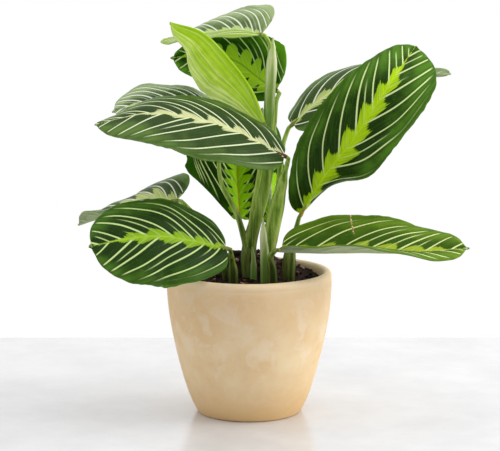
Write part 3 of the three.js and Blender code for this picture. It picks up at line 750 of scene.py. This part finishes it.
def make_pot():
    """The turned pot, slightly out of round."""
    pot = lathe("clay_pot", POT_OUTSIDE + POT_INSIDE, POT_SIDES)
    apply(pot, "SUBSURF", levels=1, render_levels=1)
    for vertex in pot.data.vertices:  # pressed and fired clay is never quite round
        x, y, z = vertex.co / MM
        if z > 0.5:
            swell = 0.12 * rough(x, y, z, 45) + 0.05 * rough(x, y, z, 12, 3)
            r = math.hypot(x, y)
            vertex.co.x *= 1 + swell / max(r, 20)
            vertex.co.y *= 1 + swell / max(r, 20)
    pot.data.materials.append(fired_clay())
    return finish(pot, "clay", "pot", angle=60)


def make_soil():
    """The fill of soil, finely broken up on top."""
    soil = lathe("soil_fill", SOIL_SIDE + [(r, SOIL_EDGE) for r in SOIL_RINGS], SOIL_SIDES)
    top = SOIL_SIDE[-1][1] + 2
    for vertex in soil.data.vertices:  # crumbly, but level where it meets the wall
        x, y, z = vertex.co / MM
        if z > top:
            fine = 1.1 * rough(x, y, 0, 4.5) + 0.6 * rough(x, y, 0, 2.0, 5) - 0.4
            vertex.co.z = (soil_height(x, y) + fine * min(1, (54.5 - math.hypot(x, y)) / 3)) * MM
    soil.data.materials.append(potting_soil())
    return finish(soil, "soil", "soil", angle=60)


def make_crumbs():
    """Three crumb shapes, copied, turned and scattered over the soil."""
    draw = random.Random(11)
    shapes = []
    for k, flat in enumerate((0.75, 0.5, 0.9)):
        alone()
        bpy.ops.mesh.primitive_ico_sphere_add(subdivisions=2, radius=1)
        shape = bpy.context.object
        for vertex in shape.data.vertices:
            push = 1 + 0.34 * noise.noise(vertex.co * 1.7 + Vector((9 * k, 0, 0)))
            vertex.co = Vector((vertex.co.x * 1.2, vertex.co.y * 0.85, vertex.co.z * flat)) * push
        shapes.append(shape)
    shades, made = [], []
    for _ in range(bpy.context.scene.plant_sizes.crumbs):
        turn, r = draw.uniform(0, 2 * math.pi), CRUMB_REACH * math.sqrt(draw.random())
        x, y = r * math.cos(turn), r * math.sin(turn)
        size = draw.choice(CRUMB_SIZES)
        tip_x, tip_y, spin = (draw.uniform(0, 6.28) for _ in range(3))
        shade, kind = draw.random(), draw.randrange(3)
        if r + size > CRUMB_REACH + 1 or any(math.hypot(x - a, y - b) < c + size for a, b, c in STALK_FEET):
            continue
        copy = shapes[kind].copy()
        copy.data = shapes[kind].data.copy()
        bpy.context.collection.objects.link(copy)
        copy.location = Vector((x, y, soil_height(x, y) + size * 0.15)) * MM
        copy.rotation_euler = (tip_x * 0.12, tip_y * 0.12, spin)
        copy.scale = (size * MM,) * 3
        shades += [shade ** 0.9] * len(copy.data.vertices)
        made.append(copy)
    for shape in shapes:
        bpy.data.objects.remove(shape)
    alone(made[0])
    for copy in made:
        copy.select_set(True)
    bpy.ops.object.join()
    crumbs = bpy.context.object
    bpy.ops.object.transform_apply(location=True, rotation=True, scale=True)
    crumbs.name = crumbs.data.name = "soil_crumbs"
    numbers(crumbs, "shade", shades)
    crumbs.data.materials.append(soil_crumb())
    return finish(crumbs, "soil", angle=35)


def ring(at, side, rise, radius, corners):
    """A circle of points round at. The last one repeats the first."""
    turns = np.linspace(0, 2 * math.pi, corners + 1)[:, None]
    return at + (np.cos(turns) * side + np.sin(turns) * rise) * radius


def make_roots():
    """Fine roots that wander over the soil, thinner at both ends."""
    radius = bpy.context.scene.plant_sizes.root / MM
    skin = root_skin()
    for k, path in enumerate(ROOTS):
        knots = [(x, y, soil_height(x, y) + 1.0 + 0.5 * math.sin(2.2 * i + k))
                 for i, (x, y) in enumerate(path)]
        rings = []
        for t in np.linspace(0, 1, 12 * (len(knots) - 1) + 1):
            ahead = heading(knots, t)
            side = unit(np.cross(ahead, (0, 0, 1)))
            thick = radius * (0.35 + 0.65 * math.sin(math.pi * min(1, 0.15 + t)) ** 0.5)
            rings.append(ring(through(knots, t), side, np.cross(side, ahead), thick, 8))
        root, _, _ = tube(f"root_{k + 1}", rings)
        in_edit(root, close_tube)
        root.data.materials.append(skin)
        finish(root, "soil")


def stalk_rings(path, leaf, sheath):
    """Rings along a stalk: an oval with a shallow channel between two raised edges. Beside them, each
    point's place across the stalk in mm and how much of an edge it is."""
    knots = [list(p) for p in path]
    if leaf:  # on to the joint of its leaf
        start, ahead = through(leaf["rib"], 0), heading(leaf["rib"], 0)
        for back in (NECK + GAP + 1.8, NECK + GAP):
            knots.append([*(start - ahead * back), JOINT_RADIUS, JOINT_RADIUS])
    centres = [k[:3] for k in knots]
    spans = len(knots) - 1
    turns = np.linspace(0, 2 * math.pi, STALK_SIDES + 1)
    channel = np.exp(-((turns - 0.5 * math.pi) / 0.45) ** 2)
    edges = np.exp(-((turns - 0.25 * math.pi) / 0.2) ** 2) + np.exp(-((turns - 0.75 * math.pi) / 0.2) ** 2)
    rings, marks = [], []
    for k in range(spans):
        straight = leaf and k == spans - 1
        for w in ([1.0] if straight else np.arange(0 if k == 0 else 1, ROWS_A_SPAN + 1) / ROWS_A_SPAN):
            t = (k + w) / spans
            at, ahead = through(centres, t), heading(centres, t)
            wide = unit(np.cross(ahead, (0, 1, 0)))
            deep = unit(np.cross(wide, ahead))
            half, thick = (knots[k][i] + (knots[k + 1][i] - knots[k][i]) * smooth(w) for i in (3, 4))
            lump = 1 + 0.02 * rough(*at, 9)
            shape = 1 - 0.35 * channel if sheath else 1 - 0.2 * channel + 0.05 * edges
            shape = 1 + (shape - 1) * min(1, max(0, (half - 1.4) / 2))
            rings.append(at - np.outer(np.cos(turns) * shape, wide) * half * lump
                         + np.outer(np.sin(turns) * shape, -deep) * thick * lump)
            marks.append(np.stack([-np.cos(turns) * half, edges], 1))
    return rings, marks


def make_stalks():
    """Stalks, petioles and sheaths. The first of those that share a node replaces it."""
    skins = {
        "stalk": stalk_skin("petiole_skin", "1a3206", "709e20", "d0e27a", "4e2c18"),
        "sheath": stalk_skin("sheath_skin", "64902a", "b4c870", "e6ecc0", "86583a", flushed=0.35),
    }
    for skin in skins.values():
        skin.diffuse_color = list(bpy.context.scene.plant_colours.stalk)
    taken = set()
    for name, (node, leaf, path) in STALKS.items():
        sheath = name.startswith("sheath")
        rings, marks = stalk_rings(path, LEAVES.get(leaf), sheath)
        stalk, row, column = tube(name, rings)
        marks = np.array(marks)[row, column]
        height = np.array(rings).mean(1)[:, 2]
        numbers(stalk, "side", marks[:, 0])
        numbers(stalk, "wing", np.clip(marks[:, 1], 0, 1) * (0.8 if sheath else 0.55))
        # Height over which its colour rises from dark to bright.
        low, tall = (path[0][2] + 12, 40) if sheath else (98 - 12 * (name == "stalk_middle"), 60)
        numbers(stalk, "rise", np.clip((height[row] - low) / tall, 0, 1))
        in_edit(stalk, close_tube)
        stalk.data.materials.append(skins["sheath" if sheath else "stalk"])
        finish(stalk, "stalk", *([] if node in taken else [node]))
        taken.add(node)


def outline(leaf, u):
    """Share of the full half width at u along the midrib."""
    share = (1 - abs(2 * u - 1) ** 2.25) ** (1 / 2.25) * (1.04 - 0.10 * u)
    blunt = leaf.get("blunt", 0) if u > 0.5 else 0
    share = (share ** 6 + blunt ** 6) ** (1 / 6) * math.sqrt(1 - 0.9 * max(0, (u - 0.96) / 0.04) ** 2)
    return max(share, 0.06)


def vein_count(q):
    """Side veins passed at q along the midrib: closest at the base, widest past the middle."""
    near, far = VEINS_AT_BASE, VEINS_AT_TIP
    inside = VEINS_OPEN * q + near * (1 - (1 - q) ** 6) / 6 + far * q ** 9 / 9
    return inside / (VEINS_OPEN + near / 6 + far / 9)


def vein_course(run, out, total, full):
    """Count of side veins at run mm along and out mm away from a midrib of total mm.

    A side vein leaves the midrib at an angle, bends forward and then runs along with the edge of a
    half blade of full mm.
    """
    def distance(start):
        far = 1.0 - 0.27 * smooth(start / total / 0.5)
        return far * full * np.tanh((run - start) / (VEINS_BEND * full))
    # Where on the midrib that side vein starts, found by halving the range that it lies in.
    low, high = np.full_like(out, -0.5 * full), np.full_like(out, run)
    for _ in range(24):
        middle = (low + high) / 2
        short = distance(middle) < out
        high, low = np.where(short, middle, high), np.where(short, low, middle)
    return vein_count(low / total)


def half_blade(leaf, side, order, length_at, us):
    """Places and vein marks of one half of a blade, from the midrib to the edge."""
    base, middle, tip = (np.array(v, float) for v in leaf[side])
    columns = (np.arange(ACROSS // 2 + 1) / (ACROSS // 2)) ** 1.3  # closest together at the midrib
    a = columns[:, None]
    left = side == "left"
    total = length_at[-1]
    full = (np.linalg.norm(middle) + max(np.linalg.norm(v) for v in (base, middle, tip))) / 2
    places, marks = [], []
    for u, run in zip(us, length_at):
        at, along = through(leaf["rib"], u), heading(leaf["rib"], u)
        reach = base if u < 0.5 else tip
        reach = reach + (middle - reach) * smooth(1 - abs(2 * u - 1))
        size = np.linalg.norm(reach)
        reach = unit(reach - along * np.dot(reach, along)) * size
        up = unit(np.cross(reach, along)) * (-1 if left else 1)
        nicks = 0.012 * rough(run, order * 30, 7, 9) + 0.02 * rough(run, order * 9, 2 if left else 5, 4)
        width = outline(leaf, u) * (1 + nicks * leaf.get("nicks", 1))
        wave = EDGE_WAVE * math.sin(6 * math.pi * u + (2 if left else 0)) * a * a
        ripple = 0.6 * rough(run, order * 17, 3 if left else 9, 11) * a ** 3
        point = leaf.get("point", 1.5) * smooth((u - 0.95) / 0.05) * np.exp(-(a / 0.5) ** 2)
        spot = (at + reach * a * width
                + up * ((leaf.get("camber", CAMBER) * 4 * a * (1 - a) + wave) * width + ripple)
                + along * (point - leaf.get("lobe", LOBE) * a * width * (1 - u) ** 6))
        if "bend" in leaf:  # a young blade, whose veins still run lengthwise
            count = columns / (leaf["bend"] + (1 - leaf["bend"]) * u)
        else:
            count = vein_course(run, columns * width * size, total, full)
        sway = np.array([rough(*p, 24, 3 + order) for p in spot[::4]])
        sway = np.interp(np.arange(len(spot)), np.arange(0, len(spot), 4), sway)
        offset = 0.62 if left else 0.15  # the veins of the two halves alternate
        course = leaf["veins"] * count + offset + 0.16 * sway * columns
        passed = vein_count((run - 0.3 * columns * width * size) / total)
        lobe = leaf.get("lobes", 1) * leaf["veins"] * passed + offset + 0.5
        broad = leaf["band"] * ((0.55 + 0.45 * smooth(u / 0.35)) * (1 - 0.5 * smooth((u - 0.5) / 0.45))
                                * smooth((leaf.get("band_end", 0.96) - u) / 0.12))
        places.append(spot)
        marks.append(np.stack([course, columns, columns * width * size / max(broad, 0.3),
                               columns * width * size, np.full_like(columns, u), lobe], 1))
    return np.array(places), np.array(marks)


def vein_pitch(places, course):
    """Spacing of the veins in mm, from how fast their count grows over the blade."""
    a, b = np.gradient(places, axis=0), np.gradient(places, axis=1)
    ca, cb = np.gradient(course, axis=0), np.gradient(course, axis=1)
    aa, ab, bb = (a * a).sum(-1), (a * b).sum(-1), (b * b).sum(-1)
    slope = (bb * ca * ca - 2 * ab * ca * cb + aa * cb * cb) / np.maximum(aa * bb - ab * ab, 1e-6)
    return 1 / np.sqrt(np.maximum(slope, 1e-6))


def make_blade(name, leaf, order, skins):
    """A blade with sunk side veins above and a midrib that stands out below."""
    sizes = bpy.context.scene.plant_sizes
    us = (1 - np.cos(np.pi * np.arange(ALONG + 1) / ALONG)) / 2
    line = np.array([through(leaf["rib"], u) for u in us])
    length_at = np.concatenate([[0], np.cumsum(np.linalg.norm(np.diff(line, axis=0), axis=1))])
    halves = []
    for side in ("left", "right"):
        places, marks = half_blade(leaf, side, order, length_at, us)
        pitch = vein_pitch(places, marks[:, :, 0])
        away = np.abs(marks[:, :, 0] - np.floor(marks[:, :, 0] + 0.5)) * pitch
        groove = -np.exp(-(away / GROOVE) ** 2) * (1 - marks[:, :, 1] ** 6)
        groove *= np.clip(marks[:, :, 3] / 3, 0, 1)
        swell = 0.5 * np.clip(1 - np.exp(-(away / SWELL) ** 2), 0, 1)
        lift = (groove + swell) * sizes.quilting / MM
        lift -= 0.7 * np.exp(-(marks[:, :, 3] / MIDRIB_GROOVE) ** 2) * sizes.quilting / MM
        along = np.gradient(places, axis=0)
        outwards = np.gradient(places, axis=1)
        up = unit(np.cross(outwards, along)) * (-1 if side == "left" else 1)
        places = places + up * lift[:, :, None]
        marks[:, :, 0] += LEAF_STEP * order + (HALF_STEP if side == "left" else 0)
        halves.append((places, np.concatenate([marks, pitch[:, :, None]], 2)))
    places = np.concatenate([halves[0][0][:, :0:-1], halves[1][0]], 1)
    marks = np.concatenate([halves[0][1][:, :0:-1], halves[1][1]], 1)
    blade, row, column = grid(name, ACROSS, ALONG)
    put(blade, places[row, column])
    for key, values in zip(("course", "share", "band", "rib", "run", "lobe", "pitch"), marks[row, column].T):
        numbers(blade, key, values)
    for skin in skins:
        blade.data.materials.append(skin)
    apply(blade, "SOLIDIFY", thickness=sizes.blade, offset=0, use_rim=True, material_offset=1,
          material_offset_rim=0, use_quality_normals=True)
    mesh = blade.data
    under = {v for face in mesh.polygons if face.material_index == 1 for v in face.vertices}
    rib, run = mesh.attributes["rib"].data, mesh.attributes["run"].data
    normals = [n.vector.copy() for n in mesh.vertex_normals]
    for v in under:
        keel = sizes.keel * (1 - 0.7 * run[v].value) * math.exp(-(rib[v].value / KEEL) ** 2)
        mesh.vertices[v].co += normals[v] * keel
    return blade


def make_joint(leaf, name, skin):
    """The swollen joint between petiole and blade, running on into the midrib."""
    start, ahead = through(leaf["rib"], 0), heading(leaf["rib"], 0)
    left, right = np.array(leaf["left"][0], float), np.array(leaf["right"][0], float)
    up = unit(np.cross(right, ahead)) - unit(np.cross(left, ahead))
    up = unit(up - ahead * np.dot(up, ahead))
    side = np.cross(ahead, up)
    rings = []
    # How far behind the blade's base, its radius there, and how far it lies under the midrib.
    for back, radius, drop in ((NECK + 0.5, 1.2, 0), (NECK + 0.2, 1.42, 0), (NECK - 0.6, 1.58, 0),
                               (1.0, 1.55, 0), (0, 1.45, 0.1), (-2, 1.2, 0.3), (-5, 0.95, 0.45),
                               (-8, 0.6, 0.5)):
        at = start - ahead * back if back >= 0 else through(leaf["rib"], -back / 130)
        rings.append(ring(at - up * drop, side, up, radius, 20))
    joint, _, _ = tube(name + "_joint", rings)
    in_edit(joint, close_tube)
    joint.data.materials.append(skin)
    return joint


def make_leaves():
    """Twelve leaves, each a blade with its joint."""
    skins = {name: leaf_face("leaf_" + name, *shades.split(), **settings)
             for name, (shades, settings) in LEAF_SKINS.items()}
    skins["young"] = young_face()
    joints = {name: stalk_skin(name, *shades.split()) for name, shades in JOINT_SKINS.items()}
    for order, (name, leaf) in enumerate(LEAVES.items()):
        young = leaf["skin"] == "young"
        upper = "young" if young else "cuticle_" + leaf["skin"]
        under = "young" if young else "underside_lit" if leaf["skin"] == "silver" else "underside"
        blade = make_blade(name + "_blade", leaf, order, (skins[upper], skins[under]))
        joint_skin = "leaf_joint_skin" + ("_" + leaf["joint"] if "joint" in leaf else "")
        joint = make_joint(leaf, name, joints[joint_skin])
        alone(blade)
        joint.select_set(True)
        bpy.ops.object.join()
        finish(blade, "young_leaf" if young else "leaf", name, angle=70)


def make_stage():
    """Table, lamps, world (which the camera sees as the white backdrop) and camera."""
    alone()
    bpy.ops.mesh.primitive_cube_add(size=1, location=(0, -0.75, -0.01))
    table = bpy.context.object
    table.name = "studio_table"
    table.dimensions = (4.0, 2.01, 0.02)
    bpy.ops.object.transform_apply(location=True, rotation=True, scale=True)
    table.data.materials.append(table_top())
    apply(table, "BEVEL", width=0.004, segments=3)

    world = bpy.context.scene.world or bpy.data.worlds.new("studio")
    bpy.context.scene.world = world
    world.use_nodes = True
    tree = world.node_tree
    strength = add_node(tree, "RANGE", add_node(tree, "SEEN"), 0.0, 1.0, SKY_LIGHT, SKY_SEEN)
    plug(tree, tree.nodes["Background"], {"Color": "ffffff", "Strength": strength})

    for name, (place, size, power, shade) in LAMPS.items():
        data = bpy.data.lights.new(name, "AREA")
        data.shape, data.size, data.energy, data.color = "DISK", size, power, shade
        lamp = bpy.data.objects.new(name, data)
        bpy.context.collection.objects.link(lamp)
        lamp.location = place
        lamp.rotation_euler = (Vector(LAMPS_AIM) - Vector(place)).to_track_quat("-Z", "Y").to_euler()

    lens = bpy.data.cameras.new("camera")
    lens.sensor_width, lens.lens, lens.clip_start, lens.clip_end = 36, CAMERA_LENS, 0.05, 20
    camera = bpy.data.objects.new("camera", lens)
    bpy.context.collection.objects.link(camera)
    camera.location = CAMERA_AT
    camera.rotation_euler = (math.radians(90 - CAMERA_DOWN), 0, 0)
    bpy.context.scene.camera = camera
    bpy.context.scene.view_settings.view_transform = "Standard"


# ---------------------------------------------------------------- operators


class PLANT_OT_pot(bpy.types.Operator):
    """Makes the clay pot"""
    bl_idname = "plant.pot"
    bl_label = "Pot"

    def execute(self, context):
        make_pot()
        return {"FINISHED"}


class PLANT_OT_soil(bpy.types.Operator):
    """Makes the soil with its crumbs and roots"""
    bl_idname = "plant.soil"
    bl_label = "Soil"

    def execute(self, context):
        make_soil()
        make_crumbs()
        make_roots()
        return {"FINISHED"}


class PLANT_OT_stalks(bpy.types.Operator):
    """Makes the stalks, petioles and sheaths"""
    bl_idname = "plant.stalks"
    bl_label = "Stalks"

    def execute(self, context):
        make_stalks()
        return {"FINISHED"}


class PLANT_OT_leaves(bpy.types.Operator):
    """Makes the leaves"""
    bl_idname = "plant.leaves"
    bl_label = "Leaves"

    def execute(self, context):
        make_leaves()
        return {"FINISHED"}


class PLANT_OT_stage(bpy.types.Operator):
    """Makes the table, lamps and camera"""
    bl_idname = "plant.stage"
    bl_label = "Stage"

    def execute(self, context):
        make_stage()
        return {"FINISHED"}


STEPS = (PLANT_OT_stage, PLANT_OT_pot, PLANT_OT_soil, PLANT_OT_stalks, PLANT_OT_leaves)


class PLANT_PT_panel(bpy.types.Panel):
    """Lists the steps and settings of the potted prayer plant"""
    bl_label = "Potted prayer plant"
    bl_space_type = "VIEW_3D"
    bl_region_type = "UI"
    bl_category = "Plant"

    def draw(self, context):
        for step in STEPS:
            self.layout.operator(step.bl_idname)
        for group in (context.scene.plant_sizes, context.scene.plant_colours):
            for key in group.__annotations__:
                self.layout.prop(group, key)


CLASSES = (PlantSizes, PlantColours, *STEPS, PLANT_PT_panel)


def register():
    for kind in CLASSES:
        bpy.utils.register_class(kind)
    bpy.types.Scene.plant_sizes = bpy.props.PointerProperty(type=PlantSizes)
    bpy.types.Scene.plant_colours = bpy.props.PointerProperty(type=PlantColours)


def unregister():
    del bpy.types.Scene.plant_sizes
    del bpy.types.Scene.plant_colours
    for kind in reversed(CLASSES):
        bpy.utils.unregister_class(kind)


def main():
    """Makes everything in turn."""
    register()
    for step in ("stage", "pot", "soil", "stalks", "leaves"):
        getattr(bpy.ops.plant, step)()


if __name__ == "__main__":
    main()
